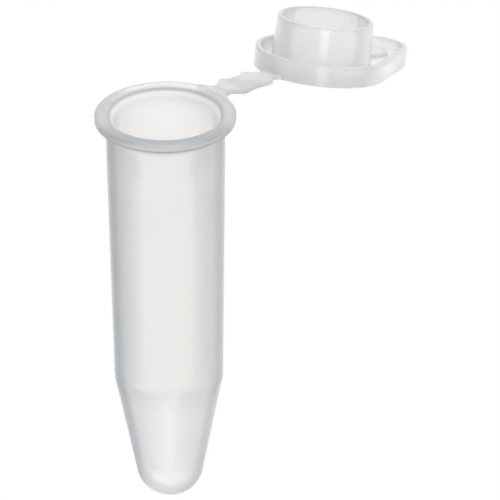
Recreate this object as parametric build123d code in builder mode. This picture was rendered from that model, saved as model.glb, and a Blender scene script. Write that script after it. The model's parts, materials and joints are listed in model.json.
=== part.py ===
from build123d import *
import os
from math import acos, atan2, cos, hypot, radians, sin, tan

# Microcentrifuge tube, 2 mL class, with its lid hanging open on a flat strap.
# Millimetres. +Z is up, +X points from the tube to the strap and the lid.
# Origin: on the tube's axis, in the plane the rim rests on in a rack.

# ---- tube ----
rim_height = 0.80        # flange, underside to top face
rim_r = 6.41
mouth_r = 5.35           # top edge of the funnel
funnel_depth = 0.65
seat_r = 4.65            # smooth zone the plug seals in
seat_bottom_z = -2.45
seat_step = 0.15         # height of the step from the seat in to the bore
bore_r = 4.50
bore_low_r = 4.20        # bore where the cone begins
barrel_r = 5.40
land_z = -3.0            # the barrel is straight down to here, then tapers
barrel_low_r = 5.07
cone_z = -26.46          # where the barrel turns into the cone, outside
bore_cone_rise = 0.20    # the bore turns this much higher
tip_r = 3.17
tip_z = -39.37           # lowest point
tip_wall = 0.85
edge_round = 0.15

# ---- strap ----
strap_z = 0.35           # middle of the strap's thickness
hinge_reach = 6.90       # hinge lines: from the tube's axis, and from the lid's
tube_side_half = 0.30    # half thickness of the link on the tube's side
lid_side_half = 0.28
neck_half_width = 0.95
waist_half_width = 1.42
ear_half_width = 1.72
end_bead_r = 0.29        # round bead on the hinge lines at the rim and the lid
fold_bead_r = 0.17       # and on the fold line
bead_gap = 0.015
end_wedge = 60.0         # degrees, taper of the ends that meet the end hinges
fold_wedge = 19.5        # degrees, taper that lets the strap fold double
under_wedge = 45.0       # degrees, taper on the underside at the fold
fold_arc_mid = 195       # degrees, a point on the link's hollow around the fold bead
film_reach = 0.85        # middle web, from the fold line to the far half
strap_length = 5.813     # between the hinge lines
strap_skew = -2.2        # degrees the hinge lines are turned about the strap
root_overlap = 0.40      # stubs start this far inside the rim or lid, before the trim
trim_margin = 0.50       # how far trimming shapes run past what they trim
trim_below = 1.0         # trimming shapes start this far under their plane

# Outlines of the two links in plan, along +X: x from the link's end hinge, half width.
tube_link_stations = (
    (-trim_margin, neck_half_width),
    (0.85, neck_half_width),
    (1.40, waist_half_width),
    (1.40, ear_half_width),
    (1.80, ear_half_width),
    (2.10, waist_half_width),
)
lid_link_stations = (
    (-1.90, waist_half_width),
    (-1.65, ear_half_width),
    (-1.10, ear_half_width),
    (-0.95, waist_half_width),
    (-0.60, neck_half_width),
    (trim_margin, neck_half_width),
)

# ---- lid, seen from its own outer face, its Z toward the plug ----
lid_tilt = 13.1          # degrees below level at the tab
hinge_depth = 0.458      # hinge line, from the lid's outer face
shut_gap = 0.02          # between the lid's edge and the rim when shut
lid_r = 6.23
plate_thickness = 0.95
skirt_height = 2.02
skirt_wall = 0.55
tab_end_r = 3.06
tab_reach = 10.20
tab_split_offset = 1.05  # plate and tab meet this far past the outline's tangent point
plug_base_r = 4.66
plug_tip_r = 4.46
plug_height = 5.12
plug_wall = 0.50
plug_lead_in = 0.16
rib_from = 4.80
rib_to = 8.50
rib_width = 2.20
rib_height = 0.36

# ---- what follows from those ----
funnel_z = rim_height - funnel_depth
tip_centre_z = tip_z + tip_r
tip_inner_r = tip_r - tip_wall

lid_hinge_x = hinge_reach + strap_length
fold_x = hinge_reach + strap_length / 2
web_end_x = fold_x + film_reach
end_groove_r = end_bead_r + bead_gap
fold_groove_r = fold_bead_r + bead_gap
rim_hinge = (hinge_reach, 0)     # hinge points in the strap's side view
fold = (fold_x, 0)
lid_hinge = (lid_hinge_x, 0)

tab_x = tab_reach - tab_end_r    # centre of the tab's round end
flare = acos((lid_r - tab_end_r) / tab_x)
split_x = lid_r * cos(flare) + tab_split_offset

tilt = radians(lid_tilt)
skew = radians(strap_skew)
shut_span = (rim_height + shut_gap + skirt_height - hinge_depth - strap_z) / cos(skew)


def skewed(x, y, z):
    """A direction turned about the strap's line by the hinge lines' skew."""
    return (x, y * cos(skew) - z * sin(skew), y * sin(skew) + z * cos(skew))


def reversed_direction(direction):
    return tuple(-v for v in direction)


# Side and top views of the strap.
strap_side = Plane(origin=(0, 0, strap_z), x_dir=(1, 0, 0), z_dir=skewed(0, -1, 0))
strap_top = Plane(origin=(0, 0, strap_z), x_dir=(1, 0, 0), z_dir=skewed(0, 0, 1))

# The lid's own directions while it hangs open. Turning it about the skewed hinge
# lines by a half turn and the tilt brings it square onto the tube.
lid_x = skewed(cos(tilt), 0, -sin(tilt))
lid_y = skewed(sin(skew) * sin(tilt), cos(skew), sin(skew) * cos(tilt))
lid_z = skewed(cos(skew) * sin(tilt), -sin(skew), cos(skew) * cos(tilt))
hinge_in_lid = (-hinge_reach, -shut_span * sin(skew), hinge_depth)
lid_origin = tuple(
    p - hinge_in_lid[0] * along_x - hinge_in_lid[1] * along_y - hinge_in_lid[2] * along_z
    for p, along_x, along_y, along_z in zip((lid_hinge_x, 0, strap_z), lid_x, lid_y, lid_z)
)
lid_face = Plane(origin=lid_origin, x_dir=lid_x, z_dir=lid_z)
lid_inner_face = lid_face.offset(plate_thickness)
lid_side = Plane(origin=lid_origin, x_dir=lid_x, z_dir=reversed_direction(lid_y))
lid_axis = Axis(origin=lid_origin, direction=lid_z)
lid_root_side = Plane(
    origin=(lid_hinge_x, 0, strap_z), x_dir=lid_x, z_dir=skewed(0, -1, 0)
)


# ---- points ----
def polar(centre, radius, degrees):
    angle = radians(degrees)
    return (centre[0] + radius * cos(angle), centre[1] + radius * sin(angle))


def wedge_run(half_thickness, degrees):
    """Length over which a wedge grows from nothing to the half thickness."""
    return half_thickness / tan(radians(degrees))


def tip_touch(x, z, radius):
    """Where the line down from (x, z) grazes the tip's ball, and the angle there."""
    height = z - tip_centre_z
    angle = atan2(height, x) - acos(radius / hypot(x, height))
    return (radius * cos(angle), tip_centre_z + radius * sin(angle)), angle


def tip_arc_middle(radius, touch_angle):
    """Halfway along the tip's arc, from the touching point to the lowest point."""
    angle = (touch_angle - radians(90)) / 2
    return (radius * cos(angle), tip_centre_z + radius * sin(angle))


def mirrored(points):
    """A closed outline from its +Y half."""
    return [*points, *((x, -y) for x, y in reversed(points))]


def lid_outline(inset):
    """A disc drawn out into a rounded thumb tab, moved inward by the inset.

    Gives disc tangent, tab tangent, tab end, then the tangents on the -Y side, and
    the point of the disc nearest the hinge.
    """
    disc_r = lid_r - inset
    end_r = tab_end_r - inset
    return (
        (disc_r * cos(flare), disc_r * sin(flare)),
        (tab_x + end_r * cos(flare), end_r * sin(flare)),
        (tab_x + end_r, 0),
        (tab_x + end_r * cos(flare), -end_r * sin(flare)),
        (disc_r * cos(flare), -disc_r * sin(flare)),
        (-disc_r, 0),
    )


def split_half_width():
    """Half width of the lid's outline where the plate meets the tab."""
    disc_tangent, tab_tangent = lid_outline(0)[:2]
    fraction = (split_x - disc_tangent[0]) / (tab_tangent[0] - disc_tangent[0])
    return disc_tangent[1] + fraction * (tab_tangent[1] - disc_tangent[1])


split_y = split_half_width()


# ---- tube pieces ----
def make_tube_body():
    """Long barrel, short cone and round tip, open at the top."""
    bore_cone_z = cone_z + bore_cone_rise
    outer_touch, outer_angle = tip_touch(barrel_low_r, cone_z, tip_r)
    inner_touch, inner_angle = tip_touch(bore_low_r, bore_cone_z, tip_inner_r)
    outer_bottom = (0, tip_z)
    inner_bottom = (0, tip_z + tip_wall)
    with BuildPart() as body:
        with BuildSketch(Plane.XZ):
            with BuildLine():
                Polyline(
                    (seat_r, funnel_z),
                    (barrel_r, funnel_z),
                    (barrel_r, land_z),
                    (barrel_low_r, cone_z),
                    outer_touch,
                )
                ThreePointArc(outer_touch, tip_arc_middle(tip_r, outer_angle), outer_bottom)
                Line(outer_bottom, inner_bottom)
                ThreePointArc(
                    inner_bottom, tip_arc_middle(tip_inner_r, inner_angle), inner_touch
                )
                Polyline(
                    inner_touch,
                    (bore_low_r, bore_cone_z),
                    (bore_r, seat_bottom_z - seat_step),
                    (seat_r, seat_bottom_z),
                    (seat_r, funnel_z),
                )
            make_face()
        revolve(axis=Axis.Z)
    return body.part


def make_rim_collar():
    """Flange around the mouth, with the funnel that guides the plug in."""
    with BuildPart() as collar:
        with BuildSketch(Plane.XZ):
            with BuildLine():
                Polyline(
                    (barrel_r, 0),
                    (rim_r, 0),
                    (rim_r, rim_height),
                    (mouth_r, rim_height),
                    (seat_r, funnel_z),
                    (barrel_r, funnel_z),
                    (barrel_r, 0),
                )
            make_face()
        revolve(axis=Axis.Z)
        # The two widest circles are the flange's outer edges.
        outer_edges = collar.edges().filter_by(GeomType.CIRCLE).sort_by(
            lambda edge: edge.radius
        )[-2:]
        fillet(outer_edges, edge_round)
    return collar.part


# ---- hinge pieces ----
def make_hinge_root(plane, hinge, toward, half, inner_x, disc_plane, disc_r, disc_height):
    """Stub that carries an end hinge line, trimmed to the round edge it grows from.

    toward is the side of the hinge the stub lies on, +1 or -1 along the plane's x.
    """
    facing = 90 - 90 * toward    # degrees, from the hinge to the stub
    wedge_x = hinge[0] + toward * wedge_run(half, end_wedge)
    upper = polar(hinge, end_bead_r, facing + toward * end_wedge)
    lower = polar(hinge, end_bead_r, facing - toward * end_wedge)
    with BuildPart() as root:
        with BuildSketch(plane):
            with BuildLine():
                Polyline(
                    upper,
                    (wedge_x, half),
                    (inner_x, half),
                    (inner_x, -half),
                    (wedge_x, -half),
                    lower,
                )
                ThreePointArc(lower, polar(hinge, end_bead_r, facing), upper)
            make_face()
        extrude(amount=neck_half_width, both=True)
        with BuildSketch(disc_plane.offset(-trim_below)):
            Circle(disc_r)
        extrude(amount=disc_height, mode=Mode.SUBTRACT)
    return root.part


def make_end_bead(hinge):
    """Round bead on one of the end hinge lines."""
    with BuildPart() as bead:
        with BuildSketch(strap_side):
            with Locations(hinge):
                Circle(end_bead_r)
        extrude(amount=neck_half_width, both=True)
    return bead.part


def make_mid_hinge_film():
    """Bead on the fold line and a tapering web that runs on into the far half."""
    half = lid_side_half
    with BuildPart() as film:
        with BuildSketch(strap_side):
            with BuildLine():
                Polyline(
                    fold,
                    (fold_x + wedge_run(half, fold_wedge), half),
                    (web_end_x, half),
                    (web_end_x, -half),
                    (fold_x + wedge_run(half, under_wedge), -half),
                    close=True,
                )
            make_face()
            with Locations(fold):
                Circle(fold_bead_r)
        extrude(amount=waist_half_width, both=True)
    return film.part


# ---- strap links: a side profile, trimmed to the outline in plan ----
def make_tube_side_link():
    """First half of the strap: neck, ears, and a shallow relief toward the fold."""
    half = tube_side_half
    near_x = hinge_reach + wedge_run(half, end_wedge)
    neck_upper = polar(rim_hinge, end_groove_r, end_wedge)
    neck_lower = polar(rim_hinge, end_groove_r, -end_wedge)
    fold_upper = polar(fold, fold_groove_r, 180 - fold_wedge)
    fold_lower = polar(fold, fold_groove_r, 180 + under_wedge)
    plan = [(hinge_reach + x, width) for x, width in tube_link_stations]
    plan.append((fold_x + trim_margin, waist_half_width))
    with BuildPart() as link:
        with BuildSketch(strap_side):
            with BuildLine():
                Polyline(
                    neck_upper,
                    (near_x, half),
                    (fold_x - wedge_run(half, fold_wedge), half),
                    fold_upper,
                )
                ThreePointArc(
                    fold_upper, polar(fold, fold_groove_r, fold_arc_mid), fold_lower
                )
                Polyline(
                    fold_lower,
                    (fold_x - wedge_run(half, under_wedge), -half),
                    (near_x, -half),
                    neck_lower,
                )
                ThreePointArc(neck_lower, polar(rim_hinge, end_groove_r, 0), neck_upper)
            make_face()
        extrude(amount=ear_half_width + trim_margin, both=True)
        with BuildSketch(strap_top.offset(-trim_below)):
            with BuildLine():
                Polyline(*mirrored(plan), close=True)
            make_face()
        extrude(amount=2 * trim_below, mode=Mode.INTERSECT)
    return link.part


def make_lid_side_link():
    """Second half of the strap, down to the neck at the lid."""
    half = lid_side_half
    far_x = lid_hinge_x - wedge_run(half, end_wedge)
    upper = polar(lid_hinge, end_groove_r, 180 - end_wedge)
    lower = polar(lid_hinge, end_groove_r, 180 + end_wedge)
    plan = [(web_end_x - trim_margin, waist_half_width)]
    plan += [(lid_hinge_x + x, width) for x, width in lid_link_stations]
    with BuildPart() as link:
        with BuildSketch(strap_side):
            with BuildLine():
                Polyline(
                    upper,
                    (far_x, half),
                    (web_end_x, half),
                    (web_end_x, -half),
                    (far_x, -half),
                    lower,
                )
                ThreePointArc(lower, polar(lid_hinge, end_groove_r, 180), upper)
            make_face()
        extrude(amount=ear_half_width + trim_margin, both=True)
        with BuildSketch(strap_top.offset(-trim_below)):
            with BuildLine():
                Polyline(*mirrored(plan), close=True)
            make_face()
        extrude(amount=2 * trim_below, mode=Mode.INTERSECT)
    return link.part


# ---- lid pieces ----
def make_lid_plate():
    """Closed face of the lid: the disc and the start of the flare to the tab."""
    outline = lid_outline(0)
    with BuildPart() as plate:
        with BuildSketch(lid_face):
            Circle(lid_r)
            with BuildLine():
                Polyline(
                    outline[0], (split_x, split_y), (split_x, -split_y), outline[4], close=True
                )
            make_face()
        extrude(amount=plate_thickness)
    return plate.part


def make_thumb_tab():
    """The part of the face that reaches past the disc."""
    _, tab_tangent, tab_end, low_tab_tangent, _, _ = lid_outline(0)
    with BuildPart() as tab:
        with BuildSketch(lid_face):
            with BuildLine():
                Polyline((split_x, -split_y), (split_x, split_y), tab_tangent)
                ThreePointArc(tab_tangent, tab_end, low_tab_tangent)
                Line(low_tab_tangent, (split_x, -split_y))
            make_face()
            Circle(lid_r, mode=Mode.SUBTRACT)
        extrude(amount=plate_thickness)
    return tab.part


def make_lid_skirt():
    """Raised edge that follows the outline and rests on the rim when closed."""
    with BuildPart() as skirt:
        with BuildSketch(lid_inner_face):
            for inset, mode in ((0, Mode.ADD), (skirt_wall, Mode.SUBTRACT)):
                outline = lid_outline(inset)
                with BuildLine():
                    Line(outline[0], outline[1])
                    ThreePointArc(outline[1], outline[2], outline[3])
                    Line(outline[3], outline[4])
                    ThreePointArc(outline[4], outline[5], outline[0])
                make_face(mode=mode)
        extrude(amount=skirt_height - plate_thickness)
    return skirt.part


def make_sealing_plug():
    """Hollow plug that seals in the mouth."""
    slope = (plug_base_r - plug_tip_r) / (plug_height - plate_thickness)
    with BuildPart() as plug:
        with BuildSketch(lid_side):
            with BuildLine():
                Polyline(
                    (plug_base_r - plug_wall, plate_thickness),
                    (plug_base_r, plate_thickness),
                    (plug_tip_r + slope * plug_lead_in, plug_height - plug_lead_in),
                    (plug_tip_r - plug_lead_in, plug_height),
                    (plug_tip_r - plug_wall, plug_height),
                    close=True,
                )
            make_face()
        revolve(axis=lid_axis)
    return plug.part


def make_tab_rib():
    """Low flat rib that stiffens the tab."""
    with BuildPart() as rib:
        with BuildSketch(lid_inner_face):
            with Locations(((rib_from + rib_to) / 2, 0)):
                SlotOverall(rib_to - rib_from, rib_width)
        extrude(amount=rib_height)
    return rib.part


pieces = {
    "tube_body": make_tube_body(),
    "rim_collar": make_rim_collar(),
    "rim_hinge_root": make_hinge_root(
        plane=strap_side, hinge=rim_hinge, toward=-1, half=tube_side_half,
        inner_x=rim_r - root_overlap, disc_plane=Plane.XY, disc_r=rim_r, disc_height=3,
    ),
    "rim_hinge_film": make_end_bead(rim_hinge),
    "strap_link_tube_side": make_tube_side_link(),
    "mid_hinge_film": make_mid_hinge_film(),
    "strap_link_lid_side": make_lid_side_link(),
    "lid_hinge_film": make_end_bead(lid_hinge),
    "lid_hinge_root": make_hinge_root(
        plane=lid_root_side, hinge=(0, 0), toward=1, half=lid_side_half,
        inner_x=hinge_reach - lid_r + root_overlap,
        disc_plane=lid_face, disc_r=lid_r, disc_height=4,
    ),
    "lid_plate": make_lid_plate(),
    "thumb_tab": make_thumb_tab(),
    "lid_skirt": make_lid_skirt(),
    "sealing_plug": make_sealing_plug(),
    "tab_rib": make_tab_rib(),
}

os.makedirs("parts", exist_ok=True)
for name, piece in pieces.items():
    piece.label = name
    export_step(piece, f"parts/{name}.step")
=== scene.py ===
"""A small tube with a flip lid on a folding strap, moulded in one piece of milky plastic.

The tube stands on the Z axis with its round tip down and its flanged rim just above z = 0.
The strap leaves the rim along +X. The open lid lies beyond it, outer face down and plug up,
with its drawn-out tab pointing away from the tube. Sizes are in mm until MM turns them into
metres.
"""
import json
import math

import bpy
import numpy as np
from mathutils import Matrix, Vector


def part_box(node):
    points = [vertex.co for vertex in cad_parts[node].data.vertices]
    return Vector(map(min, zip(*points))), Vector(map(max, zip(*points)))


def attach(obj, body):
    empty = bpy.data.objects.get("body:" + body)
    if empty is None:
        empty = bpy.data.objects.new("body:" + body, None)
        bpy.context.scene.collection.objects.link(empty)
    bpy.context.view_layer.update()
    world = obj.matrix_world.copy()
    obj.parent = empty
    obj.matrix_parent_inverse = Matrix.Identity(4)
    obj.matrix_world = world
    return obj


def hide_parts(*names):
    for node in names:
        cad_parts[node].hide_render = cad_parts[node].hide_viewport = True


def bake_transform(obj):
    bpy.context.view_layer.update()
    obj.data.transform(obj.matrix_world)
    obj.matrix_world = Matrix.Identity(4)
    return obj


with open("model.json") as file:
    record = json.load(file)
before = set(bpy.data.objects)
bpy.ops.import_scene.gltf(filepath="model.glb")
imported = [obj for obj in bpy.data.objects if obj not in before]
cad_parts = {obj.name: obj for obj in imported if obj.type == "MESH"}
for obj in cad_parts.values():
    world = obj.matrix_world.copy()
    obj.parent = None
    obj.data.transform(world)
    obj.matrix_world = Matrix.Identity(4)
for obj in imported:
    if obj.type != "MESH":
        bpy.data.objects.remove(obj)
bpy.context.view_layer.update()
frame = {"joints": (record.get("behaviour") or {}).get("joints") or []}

MM = 0.001

# ------------------------------------------------------------------ sizes
_, rim_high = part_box("rim_collar")
body_low, body_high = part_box("tube_body")
joints = {joint["name"]: joint for joint in frame["joints"]}

RIM_R = float(rim_high[0]) / MM
RIM_TOP = float(rim_high[2]) / MM
BARREL_R = float(body_high[0]) / MM
TIP_Z = float(body_low[2]) / MM
RIM_HINGE_X = joints["rim_hinge"]["pos_m"][0] / MM
FOLD_X = joints["strap_fold"]["pos_m"][0] / MM
LID_HINGE_X = joints["lid_hinge"]["pos_m"][0] / MM
HINGE_Z = joints["rim_hinge"]["pos_m"][2] / MM
hinge_axis = joints["lid_hinge"]["axis"]
SKEW = math.atan2(-hinge_axis[2], -hinge_axis[1])  # the hinge lines' turn about the strap

# tube, outside
BARREL_LOW_R = 5.07              # at the top of the cone
CONE_Z = -26.46
LAND_Z = -3.0                    # the barrel is straight above this
TIP_R = 3.17
TIP_WALL = 0.85
TIP_CENTRE_Z = TIP_Z + TIP_R
# tube, inside
MOUTH_R = 5.35
SEAT_R = 4.65
FUNNEL_Z = RIM_TOP - 0.65        # foot of the funnel under the mouth
SEAT_BOTTOM = -2.45
BORE_R = 4.50
BORE_LOW_R = 4.20
BORE_CONE_Z = CONE_Z + 0.2

# lid, in its own frame: z from the outer face toward the plug, x toward the tab
LID_R = 6.23
PLATE = 0.95                     # plate thickness
SKIRT = 2.02                     # skirt height
SKIRT_WALL = 0.55
OUTER_EDGE_R = 0.22
SKIRT_EDGE_R = 0.17
SKIRT_FILLET_R = 0.2
TAB_R = 3.06
TAB_REACH = 10.20
TAB_X = TAB_REACH - TAB_R        # middle of the tab's round end
TAB_FLARE = math.acos((LID_R - TAB_R) / TAB_X)
PLUG_BASE_R = 4.66
PLUG_TIP_R = 4.46
PLUG_H = 5.12
PLUG_WALL = 0.50
PLUG_FLOOR = PLATE - 0.1
RIB_FROM = 4.80
RIB_TO = 8.50
RIB_HALF = 1.10                  # half width
RIB_H = 0.36
RIB_EDGE_R = 0.14

# how the open lid hangs on its hinge
TILT = math.radians(13.1)
HINGE_DEPTH = 0.458              # of the hinge line above the lid's outer face
SHUT_GAP = 0.02                  # between rim and skirt when shut
SHUT_SPAN = (RIM_TOP + SHUT_GAP + SKIRT - HINGE_DEPTH - HINGE_Z) / math.cos(SKEW)

TUBE_SIDES = 256
LID_SIDES = 384
CORNER_STEPS = 7


# ------------------------------------------------------------------ helpers
def rise(value, start, over):
    """Smooth step from 0 at start to 1 at start + over."""
    t = max(0.0, min(1.0, (value - start) / over))
    return t * t * (3 - 2 * t)


def fade(value, start, over):
    """Smooth step from 1 at start to 0 at start + over."""
    return 1 - rise(value, start, over)


def edge_lines(radius, z, lines):
    """Strongest of several soft lines; each is (strength, radius, z, width)."""
    return max(
        strength * fade(math.hypot(radius - line_r, z - line_z), 0, width)
        for strength, line_r, line_z, width in lines
    )


def rounded(rows):
    """A polyline with rounded corners; rows are (radius, z, corner radius)."""
    points = [row[:2] for row in rows]
    out = []
    for i, (x, z, corner) in enumerate(rows):
        if corner <= 0 or i in (0, len(rows) - 1):
            out.append((x, z))
            continue
        point = np.array((x, z), float)
        back = np.array(points[i - 1], float) - point
        ahead = np.array(points[i + 1], float) - point
        back_length, ahead_length = np.linalg.norm(back), np.linalg.norm(ahead)
        back, ahead = back / back_length, ahead / ahead_length
        half = math.acos(max(-1, min(1, float(back @ ahead)))) / 2
        if half > math.pi / 2 - 1e-3:
            out.append((x, z))
            continue
        cut = min(corner / math.tan(half), back_length * 0.49, ahead_length * 0.49)
        corner = cut * math.tan(half)
        bisector = (back + ahead) / np.linalg.norm(back + ahead)
        centre = point + bisector * (corner / math.sin(half))
        first, last = point + back * cut - centre, point + ahead * cut - centre
        start = math.atan2(first[1], first[0])
        end = math.atan2(last[1], last[0])
        while end - start > math.pi:
            end -= 2 * math.pi
        while end - start < -math.pi:
            end += 2 * math.pi
        for k in range(CORNER_STEPS + 1):
            a = start + (end - start) * k / CORNER_STEPS
            out.append((centre[0] + corner * math.cos(a), centre[1] + corner * math.sin(a)))
    return out


def densify(points, step):
    out = [points[0]]
    for p, q in zip(points[:-1], points[1:]):
        count = max(1, int(math.ceil(math.hypot(q[0] - p[0], q[1] - p[1]) / step)))
        for k in range(1, count + 1):
            out.append((p[0] + (q[0] - p[0]) * k / count, p[1] + (q[1] - p[1]) * k / count))
    return out


def quarter(steps):
    """Angles of a quarter turn."""
    return [math.pi / 2 * k / steps for k in range(steps + 1)]


def circle(radius, z, angles):
    return [(radius * math.cos(a), radius * math.sin(a), z) for a in angles]


def new_object(name, verts, faces, smooth=True):
    """A mesh object; verts are in metres."""
    mesh = bpy.data.meshes.new(name)
    mesh.from_pydata([tuple(v) for v in verts], [], faces)
    mesh.validate()
    mesh.update()
    obj = bpy.data.objects.new(name, mesh)
    bpy.context.scene.collection.objects.link(obj)
    if smooth:
        for face in mesh.polygons:
            face.use_smooth = True
    return obj


def ring_skin(name, rings, cap_start=None, cap_end=None, place=None,
              painted_shade=None, near_side_shade=None, pale=None):
    """A skin through closed rings of equal length; caps are fans to a centre point.

    place moves the points from the part's own frame. Three rules of an unplaced point,
    each 0 to 1, become attributes: the first is how much painted shade darkens a place, the
    second the same on the side nearer the eye only, the third how much painted light and
    glow a solid place gets, as if it passed light on.
    """
    count = len(rings[0])
    verts = [point for ring in rings for point in ring]
    faces = []
    for i in range(len(rings) - 1):
        for k in range(count):
            a, b = i * count + k, i * count + (k + 1) % count
            faces.append((a, b, b + count, a + count))
    if cap_start is not None:
        verts.append(cap_start)
        faces += [(len(verts) - 1, (k + 1) % count, k) for k in range(count)]
    if cap_end is not None:
        verts.append(cap_end)
        last = (len(rings) - 1) * count
        faces += [(len(verts) - 1, last + k, last + (k + 1) % count) for k in range(count)]
    local = np.array(verts, float)
    placed = local if place is None else place(local)
    obj = new_object(name, placed * MM, faces)
    for label, rule in (("painted_shade", painted_shade), ("near_side_shade", near_side_shade), ("pale", pale)):
        values = [0.0] * len(local) if rule is None else [float(rule(*p)) for p in local]
        layer = obj.data.attributes.new(label, "FLOAT", "POINT")
        layer.data.foreach_set("value", values)
    return obj


# ------------------------------------------------------------------ the tube
def tangent_angle(r, z, centre_z, radius):
    """Where on a circle round (0, centre_z) the tangent from (r, z) touches it."""
    distance = math.hypot(r, z - centre_z)
    return math.atan2(z - centre_z, r) - math.acos(radius / distance)


def tip_arc(radius, start, end, count):
    return [(radius * math.cos(a), TIP_CENTRE_Z + radius * math.sin(a))
            for a in np.linspace(start, end, count)]


def tube_profile():
    """(radius, z) from the tip up the outside and down the bore; also the outer count."""
    lowest = -math.pi / 2 + 0.04  # just off the axis
    bore_tip_r = TIP_R - TIP_WALL
    outer_tip = tip_arc(
        TIP_R, lowest, tangent_angle(BARREL_LOW_R, CONE_Z, TIP_CENTRE_Z, TIP_R), 26)
    bore_tip = tip_arc(
        bore_tip_r, tangent_angle(BORE_LOW_R, BORE_CONE_Z, TIP_CENTRE_Z, bore_tip_r), lowest, 22)
    # radius, z, corner radius; the outside's last and the bore's first row only aim a corner
    outer = rounded([
        (*outer_tip[-1], 0),
        (BARREL_LOW_R, CONE_Z, 0.5),
        (BARREL_R, LAND_Z, 6.0),
        (BARREL_R, 0.0, 0.15),
        (RIM_R, 0.0, 0.20),
        (RIM_R, RIM_TOP, 0.24),
        (MOUTH_R, RIM_TOP, 0.14),
        (SEAT_R, FUNNEL_Z, 0),
    ])[:-1]
    bore = rounded([
        (MOUTH_R - 0.12, RIM_TOP - 0.12, 0),
        (SEAT_R, FUNNEL_Z, 0.45),
        (SEAT_R, SEAT_BOTTOM + 0.6, 6.0),
        (BORE_R, SEAT_BOTTOM - 1.4, 6.0),
        (BORE_LOW_R, BORE_CONE_Z, 0.5),
        (*bore_tip[0], 0),
    ])[1:]
    profile = outer_tip[:-1]
    for a, b in zip(outer[:-1], outer[1:]):
        # short steps round the flange, long ones down the barrel
        step = 0.6
        if max(a[1], b[1]) > -0.6 and min(a[1], b[1]) > LAND_Z - 1:
            step = 0.15 if abs(a[1] - b[1]) > 1.0 else 0.08
        profile += densify([a, b], step)[:-1]
    profile.append(outer[-1])
    outer_count = len(profile)
    for a, b in zip([outer[-1]] + bore[:-1], bore):
        profile += densify([a, b], 0.1 if max(a[1], b[1]) > -1.0 else 0.6)[1:]
    return profile + bore_tip[1:], outer_count


def tube_painted_shade(x, y, z):
    """Painted shade: edges gather light from the side, so they are painted as darker lines; the
    flange's underside and the barrel right under it get a painted shadow.
    """
    r = math.hypot(x, y)
    if z < LAND_Z - 12:
        if r >= BARREL_LOW_R - 0.4:
            return 0.0
        return edge_lines(r, z, [(0.26, BORE_LOW_R, BORE_CONE_Z, 0.35)])
    if r > BARREL_R + 0.02 and z < 0.08:
        return 1.0
    if r > BARREL_R - 0.6 and z <= 0.02:
        # painted shade: the wall is painted darker toward the flange, with a painted shadow
        # right under it
        return max(0.85 * fade(-z, start=0.42, over=0.50), 0.11 * fade(-z, start=3, over=12))
    lines = [(0.22, RIM_R - 0.02, RIM_TOP - 0.02, 0.20)]
    if r < MOUTH_R + 0.05:
        lines.append((0.74, MOUTH_R - 0.17, RIM_TOP - 0.20, 0.38))
    painted_shade = edge_lines(r, z, lines)
    if r > RIM_R - 0.03:
        painted_shade = max(painted_shade, fade(z, start=0.10, over=0.18))
    return painted_shade


def tube_near_side_shade(x, y, z):
    """Painted shade on the side nearer the eye: through the near side of the flange the eye
    would meet the funnel from behind, and at the tip the round bottom of the bore edge-on; both
    are painted darker."""
    r = math.hypot(x, y)
    if z < TIP_CENTRE_Z:
        if math.hypot(r, z - TIP_CENTRE_Z) > TIP_R - 0.3:
            return 0.0
        degrees = math.degrees(math.atan2(z - TIP_CENTRE_Z, r))
        return 0.8 * fade(abs(degrees + 60), start=0, over=11)
    if z < 0.1 or r < MOUTH_R - 0.15:
        return 0.0
    if z > RIM_TOP - 0.24:
        return 0.70
    return 0.70 - 0.27 * rise(RIM_TOP - 0.24 - z, start=0, over=0.15)


def tube_painted_light(x, y, z):
    """Painted light and glow: the solid bottom of the tip, which would carry light round its
    curve, is lightened and made to glow; so is the flange, and a little the cone.
    """
    if z > 0.25 and math.hypot(x, y) > MOUTH_R - 0.05:
        return 0.52 if z > RIM_TOP - 0.10 else 0.35 * rise(z, start=0.25, over=0.3)
    return max(fade(z - TIP_Z, start=0.25, over=0.9), 0.14 * rise(CONE_Z - z, start=0, over=2.5))


profile, outer_count = tube_profile()
tube_angles = np.linspace(0, 2 * math.pi, TUBE_SIDES, endpoint=False)
tube = ring_skin("tube_moulding", [circle(r, z, tube_angles) for r, z in profile],
                 cap_start=(0, 0, TIP_Z), cap_end=(0, 0, TIP_Z + TIP_WALL),
                 painted_shade=tube_painted_shade, near_side_shade=tube_near_side_shade, pale=tube_painted_light)
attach(tube, "tube")
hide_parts("tube_body", "rim_collar")


# ------------------------------------------------------------------ the lid
def outline_r(theta, inset):
    """Distance from the lid's centre to its drawn-out outline, moved inward."""
    turn = abs((theta + math.pi) % (2 * math.pi) - math.pi)
    lid_r, tab_r = LID_R - inset, TAB_R - inset
    if turn >= TAB_FLARE:
        return lid_r
    tab_turn = math.atan2(tab_r * math.sin(TAB_FLARE), TAB_X + tab_r * math.cos(TAB_FLARE))
    if turn <= tab_turn:
        # the ray against the tab's end circle
        along = math.cos(turn) * TAB_X
        return along + math.sqrt(max(0.0, along * along - TAB_X * TAB_X + tab_r * tab_r))
    # the ray against the straight side, whose normal is at the flare angle
    return lid_r / math.cos(turn - TAB_FLARE)


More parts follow.
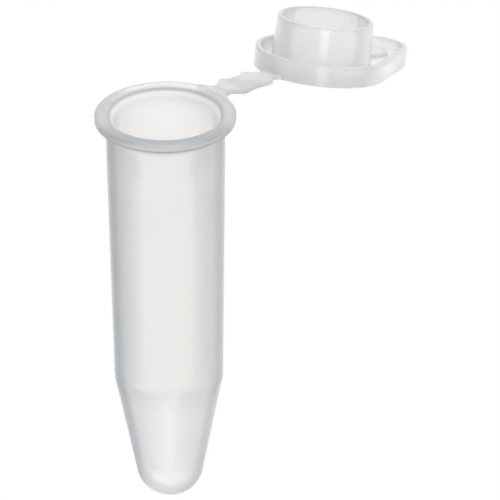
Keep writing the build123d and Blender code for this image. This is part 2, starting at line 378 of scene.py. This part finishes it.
def lid_rings():
    """Rings from the middle of the outer face, round the skirt and over the plug."""
    angles = np.linspace(-math.pi, math.pi, LID_SIDES, endpoint=False)

    def loop(inset, z):
        return circle_like([outline_r(a, inset) for a in angles], z)

    def circle_like(radii, z):
        return [(r * math.cos(a), r * math.sin(a), z) for r, a in zip(radii, angles)]

    rings = [circle(r, 0.0, angles) for r in (0.5, 1.5, 2.5, 3.5, 4.5, 5.4)]
    rings += [loop(OUTER_EDGE_R * (1 - math.sin(a)), OUTER_EDGE_R * (1 - math.cos(a)))
              for a in quarter(6)]
    rings += [loop(0, z) for z in (0.6, 1.0, 1.4)]
    edge_z = SKIRT - SKIRT_EDGE_R
    rings += [loop(SKIRT_EDGE_R * (1 - math.cos(a)), edge_z + SKIRT_EDGE_R * math.sin(a))
              for a in quarter(6)]
    rings += [loop(SKIRT_WALL - SKIRT_EDGE_R * (1 - math.sin(a)),
                   edge_z + SKIRT_EDGE_R * math.cos(a)) for a in quarter(6)]
    rings.append(loop(SKIRT_WALL, 1.5))
    rings += [loop(SKIRT_WALL + SKIRT_FILLET_R * (1 - math.cos(a)),
                   PLATE + SKIRT_FILLET_R * (1 - math.sin(a))) for a in quarter(5)]
    # across the plate, from the outline's shape to the plug's
    plate_edge = loop(SKIRT_WALL + SKIRT_FILLET_R, PLATE)
    plug_foot = circle(PLUG_BASE_R + 0.15, PLATE, angles)
    for k in range(1, 13):
        rings.append([(p[0] + (q[0] - p[0]) * k / 13, p[1] + (q[1] - p[1]) * k / 13, PLATE)
                      for p, q in zip(plate_edge, plug_foot)])
    # radius, z, corner radius
    plug = rounded([
        (PLUG_BASE_R + 0.15, PLATE, 0),
        (PLUG_BASE_R, PLATE, 0.12),
        (PLUG_TIP_R, PLUG_H, 0.17),
        (PLUG_TIP_R - PLUG_WALL, PLUG_H, 0.17),
        (PLUG_BASE_R - PLUG_WALL - 0.06, PLUG_FLOOR, 0.45),
        (3.0, PLUG_FLOOR, 0),
        (0.4, PLUG_FLOOR, 0),
    ])
    return rings + [circle(r, z, angles) for r, z in densify(plug, 1.0)]


def skewed(x, y, z):
    """A vector turned about X by the hinge lines' skew."""
    c, s = math.cos(SKEW), math.sin(SKEW)
    return np.array((x, y * c - z * s, y * s + z * c))


cos_tilt, sin_tilt = math.cos(TILT), math.sin(TILT)
cos_skew, sin_skew = math.cos(SKEW), math.sin(SKEW)
LID_AXES = np.array([
    skewed(cos_tilt, 0, -sin_tilt),
    skewed(sin_skew * sin_tilt, cos_skew, sin_skew * cos_tilt),
    skewed(cos_skew * sin_tilt, -sin_skew, cos_skew * cos_tilt),
])
hinge_in_lid = np.array((-RIM_HINGE_X, -SHUT_SPAN * sin_skew, HINGE_DEPTH))
LID_ORIGIN = np.array((LID_HINGE_X, 0, HINGE_Z)) - hinge_in_lid @ LID_AXES


def lid_place(points):
    """From the lid's own frame to the tube's."""
    return LID_ORIGIN + points @ LID_AXES


# painted shade: dark lines along the lips of the skirt and the plug, in the skirt's inner corner
# and round the plug's foot, and a darker band at the edge of the outer face
def lid_painted_shade(x, y, z):
    r = math.hypot(x, y)
    rim = outline_r(math.atan2(y, x), 0)
    wall = rim - SKIRT_WALL
    lines = [(0.45, PLUG_BASE_R, PLATE, 0.25)]
    painted_shade = 0.0
    if r > wall - 0.3:
        lines += [(0.35, rim - 0.02, SKIRT - 0.02, 0.20),
                  (0.55, wall + 0.03, SKIRT - 0.03, 0.24),
                  (0.30, wall - 0.05, PLATE + 0.05, 0.22)]
        painted_shade = 0.35 * fade(z, start=0, over=0.25)
    if r < PLUG_BASE_R + 0.2:
        lines += [(0.40, PLUG_TIP_R - 0.02, PLUG_H - 0.02, 0.20),
                  (0.65, PLUG_TIP_R - PLUG_WALL + 0.03, PLUG_H - 0.03, 0.24)]
    return max(painted_shade, edge_lines(r, z, lines))


def lid_near_side_shade(x, y, z):
    """Painted shade on the side nearer the eye: the skirt, where it and the plate behind it are
    met together from the front, and the plug's wall.
    """
    r = math.hypot(x, y)
    rim = outline_r(math.atan2(y, x), 0)
    if r > rim - 0.06 and z < SKIRT - 0.08:
        return 0.34
    if r > PLUG_TIP_R - 0.06 and r < PLUG_BASE_R + 0.1 and z > PLATE:
        return 0.14
    return 0.0


lid = ring_skin("lid_moulding", lid_rings(), cap_start=(0, 0, 0), cap_end=(0, 0, PLUG_FLOOR),
                place=lid_place, painted_shade=lid_painted_shade, near_side_shade=lid_near_side_shade)
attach(lid, "lid")
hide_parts("lid_plate", "thumb_tab", "lid_skirt", "sealing_plug")

# ------------------------------------------------------------------ the rib on the tab
RIB_NEAR_X = RIB_FROM + RIB_HALF  # middles of its two round ends
RIB_FAR_X = RIB_TO - RIB_HALF


def rib_loop(inset, z):
    """A long rounded outline along the tab's middle."""
    radius = RIB_HALF - inset
    points = []
    for here, there, side in ((RIB_FAR_X, RIB_NEAR_X, 1), (RIB_NEAR_X, RIB_FAR_X, -1)):
        for k in range(33):
            a = math.radians(180 * k / 32 - 90 * side)
            points.append((here + radius * math.cos(a), radius * math.sin(a), z))
        points += [(here + (there - here) * k / 10, side * radius, z) for k in range(1, 10)]
    return points


def rib_rings():
    """From under the plate's face, up the flared foot and over the rounded edge."""
    top = PLATE + RIB_H
    foot = [(RIB_HALF, PLATE - 0.06), (-0.05, PLATE - 0.06), (-0.05, PLATE + 0.01),
            (0.0, PLATE + 0.10)]
    edge = [(RIB_EDGE_R * (1 - math.cos(a)), top - RIB_EDGE_R + RIB_EDGE_R * math.sin(a))
            for a in quarter(6)]
    face = [(inset, top) for inset in (0.3, 0.5, 0.7, 0.9, RIB_HALF)]
    return [rib_loop(inset, z) for inset, z in foot + edge + face]


# painted shade: a dark line round the rib's top edge and a darker foot where it meets the plate
def rib_painted_shade(x, y, z):
    r = math.hypot(x - min(max(x, RIB_NEAR_X), RIB_FAR_X), y)
    top_line = edge_lines(r, z, [(0.30, RIB_HALF - 0.02, PLATE + RIB_H - 0.02, 0.22)])
    return max(top_line, 0.25 * fade(z, start=PLATE, over=0.15))


tab_rib = ring_skin("tab_rib_moulding", rib_rings(), place=lid_place, painted_shade=rib_painted_shade)
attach(tab_rib, "lid")
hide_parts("tab_rib")

# ------------------------------------------------------------------ the strap
# x, half width, thickness above and below the middle, sideways shift, height of the middle
STATIONS = np.array([
    (5.95, 2.10, 0.305, 0.27, 0.12, 0.51),
    (6.15, 1.86, 0.305, 0.27, 0.12, 0.51),
    (6.42, 1.45, 0.29, 0.27, 0.12, 0.51),
    (6.60, 1.12, 0.26, 0.26, 0.13, 0.51),
    (6.90, 0.96, 0.24, 0.25, 0.14, 0.50),
    (7.25, 0.95, 0.23, 0.24, 0.16, 0.48),
    (7.60, 1.02, 0.23, 0.24, 0.20, 0.45),
    (8.10, 1.42, 0.23, 0.24, 0.20, 0.42),
    (8.44, 1.65, 0.23, 0.24, 0.20, 0.39),
    (8.72, 1.77, 0.22, 0.23, 0.19, 0.37),
    (9.00, 1.62, 0.20, 0.21, 0.08, 0.35),
    (9.40, 1.53, 0.17, 0.19, 0.05, 0.33),
    (FOLD_X, 1.45, 0.15, 0.17, 0.01, 0.30),
    (10.40, 1.42, 0.17, 0.19, 0.00, 0.27),
    (10.80, 1.50, 0.20, 0.21, 0.03, 0.25),
    (10.97, 1.57, 0.21, 0.22, 0.06, 0.24),
    (11.28, 1.52, 0.22, 0.22, 0.00, 0.23),
    (11.66, 1.34, 0.22, 0.22, -0.20, 0.21),
    (11.88, 1.25, 0.22, 0.22, -0.30, 0.20),
    (12.03, 1.15, 0.22, 0.22, -0.33, 0.19),
    (12.13, 0.92, 0.22, 0.22, -0.24, 0.19),
    (12.34, 0.86, 0.22, 0.22, -0.22, 0.18),
    (LID_HINGE_X, 0.87, 0.22, 0.23, -0.20, 0.17),
    (LID_HINGE_X + 0.35, 0.89, 0.23, 0.24, -0.18, 0.17),
    (LID_HINGE_X + 0.60, 0.93, 0.24, 0.24, -0.17, 0.17),
    (LID_HINGE_X + 1.05, 1.02, 0.24, 0.24, -0.16, 0.17),
])
station_x, station_sizes = STATIONS[:, 0], STATIONS[:, 1:]
SECTION_CORNER_R = 0.13
STRAP_STEP = 0.045


def station_slopes():
    """Slopes at the stations that keep the curve between them monotone."""
    steps = np.diff(station_sizes, axis=0) / np.diff(station_x)[:, None]
    before, after = steps[:-1], steps[1:]
    same_way = before * after > 0
    slopes = np.zeros_like(station_sizes)
    slopes[0], slopes[-1] = steps[0], steps[-1]
    slopes[1:-1][same_way] = (2 * before * after)[same_way] / (before + after)[same_way]
    return slopes


SLOPES = station_slopes()


def strap_at(x):
    """The five station sizes at x, by cubic interpolation."""
    i = int(np.clip(np.searchsorted(station_x, x) - 1, 0, len(station_x) - 2))
    span = station_x[i + 1] - station_x[i]
    t = (x - station_x[i]) / span
    return (
        (2 * t**3 - 3 * t**2 + 1) * station_sizes[i]
        + (t**3 - 2 * t**2 + t) * span * SLOPES[i]
        + (-2 * t**3 + 3 * t**2) * station_sizes[i + 1]
        + (t**3 - t**2) * span * SLOPES[i + 1]
    )


def far_neck_edge(y):
    """x of the far neck's edge, which runs across the strap in an S."""
    return 10.80 - 1.25 * rise(y, start=-0.40, over=0.85)


def relief(x, y):
    """The middle panel lies a little lower than the two necks."""
    far_neck = (rise(x, start=far_neck_edge(y), over=0.22)
                * fade(x, start=LID_HINGE_X - 0.2, over=0.8))
    near_neck = fade(x, start=8.25, over=0.30) * rise(x, start=6.9, over=0.6)
    return 0.085 * far_neck + 0.04 * near_neck


def strap_section(half_width, up, down):
    """(y, z) round a flat section with rounded corners."""
    side, top, bottom = (size - SECTION_CORNER_R for size in (half_width, up, down))
    arcs = []
    corners = ((side, top, 0), (-side, top, 90), (-side, -bottom, 180), (side, -bottom, 270))
    for y, z, start in corners:
        angles = [math.radians(start + 90 * k / 5) for k in range(6)]
        arcs.append([(y + SECTION_CORNER_R * math.cos(a), z + SECTION_CORNER_R * math.sin(a))
                     for a in angles])
    section = []
    for i, count in enumerate((36, 3, 36, 3)):
        section += arcs[i]
        p, q = arcs[i][-1], arcs[(i + 1) % 4][0]
        section += [(p[0] + (q[0] - p[0]) * k / count, p[1] + (q[1] - p[1]) * k / count)
                    for k in range(1, count)]
    return section


def strap_ring(x):
    half_width, up, down, sideways, middle = strap_at(x)
    # the strap lies level at the rim, and turns toward the lid's own slant
    twist = SKEW * (rise(x, start=6.5, over=1.6) + rise(x, start=LID_HINGE_X - 0.9, over=1.5))
    # it bends downward past the lid's hinge line
    past = max(0.0, x - LID_HINGE_X)
    bend = TILT * rise(x, start=LID_HINGE_X - 0.30, over=0.6)
    ring = []
    for section_y, section_z in strap_section(half_width, up, down):
        y = section_y + sideways
        z = section_z + middle - HINGE_Z + (relief(x, section_y) if section_z > 0 else 0.0)
        bent_x = min(x, LID_HINGE_X) + past * math.cos(bend) + z * math.sin(bend)
        bent_z = -past * math.sin(bend) + z * math.cos(bend)
        ring.append((bent_x, y * math.cos(twist) - bent_z * math.sin(twist),
                     HINGE_Z + y * math.sin(twist) + bent_z * math.cos(twist)))
    return ring


def strap_painted_shade(x, y, z):
    """Painted shade: the sunken middle panel and the root against the rim are painted a shade
    warmer and darker.
    """
    middle = (rise(x, start=8.15, over=0.6)
              * fade(x, start=far_neck_edge(y) - 0.20, over=0.45))
    root = fade(x, start=7.05, over=0.25) * rise(x, start=6.55, over=0.25)
    return 0.34 * middle + 0.30 * root


# name, first and last x, the two parts it joins, hinge x and half its bending length,
# the CAD pieces it stands for
STRAP_PIECES = [
    ("strap_rim_half", station_x[0], FOLD_X - 0.85, "tube", "strap_near", RIM_HINGE_X, 0.40,
     ["rim_hinge_root", "rim_hinge_film", "strap_link_tube_side"]),
    ("strap_fold_web", FOLD_X - 0.85, FOLD_X + 0.90, "strap_near", "strap_far", FOLD_X, 0.60,
     ["mid_hinge_film"]),
    ("strap_lid_half", FOLD_X + 0.90, station_x[-1], "strap_far", "lid", LID_HINGE_X, 0.40,
     ["strap_link_lid_side", "lid_hinge_film", "lid_hinge_root"]),
]
strap = []
for name, first_x, last_x, part_a, part_b, hinge_x, reach, cad_pieces in STRAP_PIECES:
    count = int(math.ceil((last_x - first_x) / STRAP_STEP))
    rings = [strap_ring(float(first_x + (last_x - first_x) * i / count))
             for i in range(count + 1)]
    piece = ring_skin(name, rings, painted_shade=strap_painted_shade)
    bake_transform(piece)
    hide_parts(*cad_pieces)
    strap.append(piece)


# ------------------------------------------------------------------ materials
class Graph:
    """Short ways to add shader nodes; most return the output socket they lead to."""

    def __init__(self, owner):
        owner.use_nodes = True
        self.tree = owner.node_tree
        self.tree.nodes.clear()

    def node(self, kind, inputs=None, **settings):
        """A node; each input is given a value or a socket to be linked from."""
        node = self.tree.nodes.new("ShaderNode" + kind)
        for key, value in settings.items():
            setattr(node, key, value)
        for key, value in (inputs or {}).items():
            if isinstance(value, bpy.types.NodeSocket):
                self.tree.links.new(value, node.inputs[key])
            else:
                node.inputs[key].default_value = value
        return node

    def first(self, kind, inputs=None, **settings):
        return self.node(kind, inputs, **settings).outputs[0]

    def math(self, operation, a, b):
        return self.first("Math", {0: a, 1: b}, operation=operation)

    def dot(self, a, b):
        node = self.node("VectorMath", {0: a, 1: b}, operation="DOT_PRODUCT")
        return node.outputs["Value"]

    def attribute(self, name):
        return self.node("Attribute", attribute_name=name).outputs["Fac"]

    def map_range(self, value, source=(0.0, 1.0), target=(0.0, 1.0), kind="LINEAR"):
        return self.first("MapRange", {
            "Value": value, "From Min": source[0], "From Max": source[1],
            "To Min": target[0], "To Max": target[1]}, interpolation_type=kind)

    def mix(self, factor, a, b, data_type="RGBA", **settings):
        node = self.node("Mix", {"Factor": factor, "A": a, "B": b},
                         data_type=data_type, **settings)
        return node.outputs["Result"]

    def mix_shader(self, factor, a, b):
        return self.first("MixShader", {"Fac": factor, 1: a, 2: b})

    def ramp(self, factor, stops):
        """A colour ramp through stops of (place, rgb)."""
        node = self.node("ValToRGB", {"Fac": factor})
        elements = node.color_ramp.elements
        while len(elements) < len(stops):
            elements.new(0.5)
        for element, (place, _) in zip(elements, stops):
            element.position = place
        for element, (_, shade) in zip(elements, stops):
            element.color = (*shade, 1)
        return node.outputs["Color"]


def noise(graph, vector, scale, detail):
    return graph.first("TexNoise", {"Vector": vector, "Scale": scale, "Detail": detail})


def side_toward_eye(graph, geometry, centre):
    """1 on the side of an upright axis through centre that is nearer the eye."""
    offset = graph.first("VectorMath", {0: geometry.outputs["Position"], 1: centre},
                         operation="SUBTRACT")
    level = graph.first("VectorMath", {0: offset, 1: (1, 1, 0)}, operation="MULTIPLY")
    outward = graph.first("VectorMath", {0: level}, operation="NORMALIZE")
    toward = graph.dot(outward, geometry.outputs["Incoming"])
    return graph.map_range(toward, source=(0.10, 0.82), kind="SMOOTHSTEP")


def plastic(name, stops, clear, rough, line, behind=None, behind_from=0.45, glow=0.0,
            centre=(0, 0, 0)):
    """Milky natural polypropylene: light passes, scattered.

    stops give its colour, with painted shade and painted light by the slant at which the
    eye meets the wall, and clear its clarity, from where the eye meets the wall squarely (0)
    to where it grazes (1). line is the colour of painted shade. behind is the colour painted
    on a wall met from inside the plastic, shown from behind_from toward grazing: painted
    shade on the tube's outer wall, painted light in the bore. glow is a painted glow, light
    the wall gives off though it is no lamp. centre is the middle of the part, in metres.
    """
    material = bpy.data.materials.new(name)
    graph = Graph(material)
    geometry = graph.node("NewGeometry")
    position = graph.node("TexCoord").outputs["Object"]
    facing = graph.node("LayerWeight", {"Blend": 0.5}).outputs["Facing"]

    # slow cloudiness in the resin, drawn out along Z
    drawn = graph.first("Mapping", {"Vector": position, "Scale": (1.0, 1.0, 0.12)})
    cloud = graph.map_range(noise(graph, drawn, scale=260.0, detail=3.0),
                            source=(0.3, 0.7), target=(0.985, 1.0))

    # painted shade, and painted light where solid places would pass light on
    near_side_shade = graph.math("MULTIPLY", graph.attribute("near_side_shade"),
                      side_toward_eye(graph, geometry, centre))
    painted_darkness = graph.math("MAXIMUM", graph.attribute("painted_shade"), near_side_shade)
    light = graph.math("MULTIPLY", graph.attribute("pale"),
                       graph.math("SUBTRACT", 1.0, near_side_shade))
    # painted light lightens the colour toward white, and painted shade darkens it toward the
    # line colour
    colour = graph.mix(light, graph.ramp(facing, stops), (1.0, 1.0, 0.985, 1))
    colour = graph.mix(painted_darkness, colour, (*line, 1))
    # painted on a wall met from inside: shade on the tube's outer wall, light in the bore
    if behind is not None:
        along = graph.map_range(facing, source=(behind_from, behind_from + 0.3),
                                kind="SMOOTHSTEP")
        inside = graph.math("MULTIPLY", geometry.outputs["Backfacing"], along)
        colour = graph.mix(inside, colour, (*behind, 1))
    colour = graph.mix(1.0, colour, cloud, blend_type="MULTIPLY")

    # the milky body; places with painted shade pass less light straight through
    milky = graph.mix_shader(0.5, graph.first("BsdfDiffuse", {"Color": colour}),
                             graph.first("BsdfTranslucent", {"Color": colour}))
    see_through = graph.first("BsdfTransparent", {"Color": (0.97, 0.975, 0.985, 1)})
    through = graph.math("MULTIPLY", graph.map_range(facing, target=clear),
                         graph.map_range(painted_darkness, target=(1.0, 0.3)))
    body = graph.mix_shader(through, milky, see_through)

    # a glossy, finely uneven surface
    normal = graph.first("Bump", {"Strength": 0.02, "Distance": 0.0001,
                                  "Height": noise(graph, position, scale=2600.0, detail=2.0)})
    gloss = graph.first("BsdfGlossy", {"Roughness": rough, "Normal": normal})
    fresnel = graph.first("Fresnel", {"IOR": 1.45, "Normal": normal})
    coat = graph.mix_shader(fresnel, body, gloss)

    # painted glow: the wall gives off light, standing in for light piped along it and leaving
    # here; it is no lamp
    painted_glow_strength = graph.map_range(light, target=(glow, glow + 0.16))
    emission = graph.first("Emission", {"Strength": painted_glow_strength, "Color": colour})
    surface = graph.first("AddShader", {0: coat, 1: emission})
    graph.node("OutputMaterial", {"Surface": surface})
    return material


# painted shade: the tube's ramp darkens and blues the wall toward grazing; its line colour
# darkens the painted edge lines and the shadow under the flange, and its behind colour the outer
# wall seen from inside
TUBE_SHADE_COLOUR = (0.38, 0.41, 0.44)
tube_plastic = plastic(
    "natural_pp_tube",
    stops=[(0.0, (0.955, 0.947, 0.925)), (0.30, (0.95, 0.942, 0.925)),
           (0.44, (0.915, 0.915, 0.912)), (0.56, (0.83, 0.85, 0.875)),
           (0.68, (0.745, 0.785, 0.84)), (0.84, (0.77, 0.80, 0.85)),
           (1.0, (0.86, 0.875, 0.90))],
    clear=(0.50, 0.30), rough=0.20, line=TUBE_SHADE_COLOUR, behind=(0.40, 0.47, 0.56))
# painted light: the bore's ramp is brightest where it faces the eye, its behind colour lights
# the bore seen from inside, and glow makes it glow though it is no lamp
bore_plastic = plastic(
    "natural_pp_bore",
    stops=[(0.50, (1.0, 0.985, 0.965)), (0.76, (0.87, 0.87, 0.87)), (1.0, (0.68, 0.70, 0.73))],
    clear=(0.15, 0.05), rough=0.30, line=TUBE_SHADE_COLOUR, behind=(1.0, 0.99, 0.97),
    behind_from=0.2, glow=0.105)
# painted shade and light: the lid's ramp darkens walls met squarely and lightens slanted faces;
# its line colour darkens lips and corners, and glow makes it glow a little
lid_plastic = plastic(
    "natural_pp_lid",
    stops=[(0.0, (0.915, 0.915, 0.91)), (0.26, (0.935, 0.935, 0.925)),
           (0.48, (1.0, 0.995, 0.975)), (0.75, (1.0, 0.998, 0.98)), (1.0, (0.95, 0.955, 0.94))],
    clear=(0.35, 0.20), rough=0.14, line=(0.56, 0.57, 0.57), glow=0.055,
    centre=tuple(LID_ORIGIN * MM))
# painted shade: the strap darkens toward grazing, and its line colour darkens the sunken middle
# panel and the root at the rim
strap_plastic = plastic(
    "natural_pp_strap",
    stops=[(0.5, (0.93, 0.912, 0.892)), (1.0, (0.80, 0.79, 0.78))],
    clear=(0.12, 0.05), rough=0.35, line=(0.66, 0.60, 0.60))

tube.data.materials.append(tube_plastic)
tube.data.materials.append(bore_plastic)
# faces run up the outside, down the bore, then the outer cap and the bore's cap
wall_faces = (len(profile) - 1) * TUBE_SIDES
for face in tube.data.polygons:
    in_bore = (outer_count - 1) * TUBE_SIDES <= face.index < wall_faces
    if in_bore or face.index >= wall_faces + TUBE_SIDES:
        face.material_index = 1
for part in (lid, tab_rib):
    part.data.materials.append(lid_plastic)
for piece in strap:
    piece.data.materials.append(strap_plastic)

# ------------------------------------------------------------------ stage
scene = bpy.context.scene
WHITE = (1, 1, 1, 1)
LEFT = (-0.737, 0.676, 0.0)      # level directions as the camera sees the tube
TOWARD = (-0.676, -0.737, 0.0)
FLOOR_LIGHT = 1.18
# degrees from the side facing the camera, positive to the left, and relative light
FLOOR_ROUND = [(-180, 1.04), (-125, 1.0), (-75, 0.86), (-40, 0.88), (0, 1.0), (45, 1.15),
               (78, 1.15), (96, 0.55), (125, 0.55), (150, 1.0), (180, 1.1)]
FLOOR_HALF = 1.5                 # metres
SIDE_LIGHT = 1.10
TOP_LIGHT = 1.4
LEFT_TINT = (0.56, 0.62, 0.69, 1)


def floor_material():
    """White to the camera; as a light, brightest at the front left and dim at the left."""
    material = bpy.data.materials.new("pale_floor")
    graph = Graph(material)
    spot = graph.node("NewGeometry").outputs["Position"]
    angle = graph.math("ARCTAN2", graph.dot(spot, LEFT), graph.dot(spot, TOWARD))
    share = graph.map_range(angle, source=(-math.pi, math.pi))
    # the ramp holds half the light, to keep its colours under 1
    around = graph.ramp(share, [((degrees + 180) / 360, (light / 2,) * 3)
                                for degrees, light in FLOOR_ROUND])
    light = graph.math("MULTIPLY", around, 2 * FLOOR_LIGHT)
    camera_ray = graph.node("LightPath").outputs["Is Camera Ray"]
    strength = graph.mix(camera_ray, light, 1.0, data_type="FLOAT")
    emission = graph.first("Emission", {"Color": WHITE, "Strength": strength})
    graph.node("OutputMaterial", {"Surface": emission})
    return material


floor_z = TIP_Z * MM - 0.00002
floor = new_object(
    "floor",
    [(x * FLOOR_HALF, y * FLOOR_HALF, floor_z) for x, y in ((-1, -1), (1, -1), (1, 1), (-1, 1))],
    [(0, 1, 2, 3)],
    smooth=False,
)
floor.data.materials.append(floor_material())


def white_tent():
    """A world brightest overhead and cooler at the left; plain white to the camera."""
    world = bpy.data.worlds.new("studio")
    scene.world = world
    graph = Graph(world)
    direction = graph.node("TexCoord").outputs["Generated"]
    up = graph.node("SeparateXYZ", {"Vector": direction}).outputs["Z"]
    brightness = graph.map_range(up, source=(0.0, 0.9), target=(SIDE_LIGHT, TOP_LIGHT),
                                 kind="SMOOTHSTEP")
    leftward = graph.map_range(graph.dot(direction, LEFT), kind="SMOOTHSTEP")
    hue = graph.mix(leftward, WHITE, LEFT_TINT)
    lit = graph.first("VectorMath", {0: hue, "Scale": brightness}, operation="SCALE")
    camera_ray = graph.node("LightPath").outputs["Is Camera Ray"]
    background = graph.first("Background", {"Color": graph.mix(camera_ray, lit, WHITE)})
    graph.node("OutputWorld", {"Surface": background})


white_tent()


def highlight(name, place, target, width, height, radiance):
    """A lamp that shows only as a highlight; sizes and places in mm."""
    data = bpy.data.lights.new(name, "AREA")
    data.shape = "RECTANGLE"
    data.size, data.size_y = width * MM, height * MM
    data.energy = radiance * math.pi * width * height * MM * MM
    lamp = bpy.data.objects.new(name, data)
    scene.collection.objects.link(lamp)
    place, target = Vector(place), Vector(target)
    lamp.matrix_world = (Matrix.Translation(place * MM)
                         @ (target - place).to_track_quat("-Z", "Y").to_matrix().to_4x4())
    lamp.visible_camera = lamp.visible_diffuse = lamp.visible_transmission = False


toward = np.array(TOWARD)
lid_middle = lid_place(np.array((0, 0, 2.6)))
highlight("strip_lamp", lid_middle + toward * 80 + np.array((0, 0, -2.0)), lid_middle,
          width=24, height=42, radiance=3.4)
KEY_ELEVATION = math.radians(29.1)
tip_middle = np.array((0, 0, TIP_CENTRE_Z))
key_direction = toward * math.cos(KEY_ELEVATION) + np.array((0, 0, math.sin(KEY_ELEVATION)))
highlight("key_lamp", tip_middle + key_direction * 330, tip_middle,
          width=150, height=150, radiance=5.0)

# milky plastic is bright because light crosses it many times
scene.cycles.max_bounces = 24
scene.cycles.diffuse_bounces = 16
scene.cycles.transmission_bounces = 16
scene.cycles.glossy_bounces = 8
scene.cycles.transparent_max_bounces = 32

scene.view_settings.view_transform = "Standard"
scene.view_settings.look = "None"

# ------------------------------------------------------------------ camera
CAMERA_DISTANCE = 366.99906      # mm, from the middle of the rim's top
CAMERA_ELEVATION = 0.4739        # radians, of its place above that point
CAMERA_AROUND = math.radians(42.2)   # from -Y toward -X
CAMERA_YAW = math.radians(1.332)     # aim, to the right of the Z axis
CAMERA_PITCH = math.radians(29.094)  # aim, downward
CAMERA_ROLL = -0.0032            # radians
SENSOR_WIDTH = 36.0
LENS = 293.32368


def add_camera():
    # place and aim from the -Y side, then turned about Z
    place = Vector((0, -CAMERA_DISTANCE * math.cos(CAMERA_ELEVATION),
                    CAMERA_DISTANCE * math.sin(CAMERA_ELEVATION)))
    forward = Vector((math.sin(CAMERA_YAW) * math.cos(CAMERA_PITCH),
                      math.cos(CAMERA_YAW) * math.cos(CAMERA_PITCH),
                      -math.sin(CAMERA_PITCH)))
    right = Vector((math.cos(CAMERA_YAW), -math.sin(CAMERA_YAW), 0))
    up = right.cross(forward)
    rolled_right = right * math.cos(CAMERA_ROLL) + up * math.sin(CAMERA_ROLL)
    rolled_up = -right * math.sin(CAMERA_ROLL) + up * math.cos(CAMERA_ROLL)
    turn = Matrix.Rotation(-CAMERA_AROUND, 3, "Z")
    basis = Matrix((turn @ rolled_right, turn @ rolled_up, turn @ -forward)).transposed()
    location = (turn @ place + Vector((0, 0, RIM_TOP))) * MM

    data = bpy.data.cameras.new("camera")
    data.sensor_width = SENSOR_WIDTH
    data.lens = LENS
    data.clip_start, data.clip_end = 0.01, 10.0
    camera = bpy.data.objects.new("camera", data)
    scene.collection.objects.link(camera)
    camera.matrix_world = Matrix.Translation(location) @ basis.to_4x4()
    scene.camera = camera


add_camera()
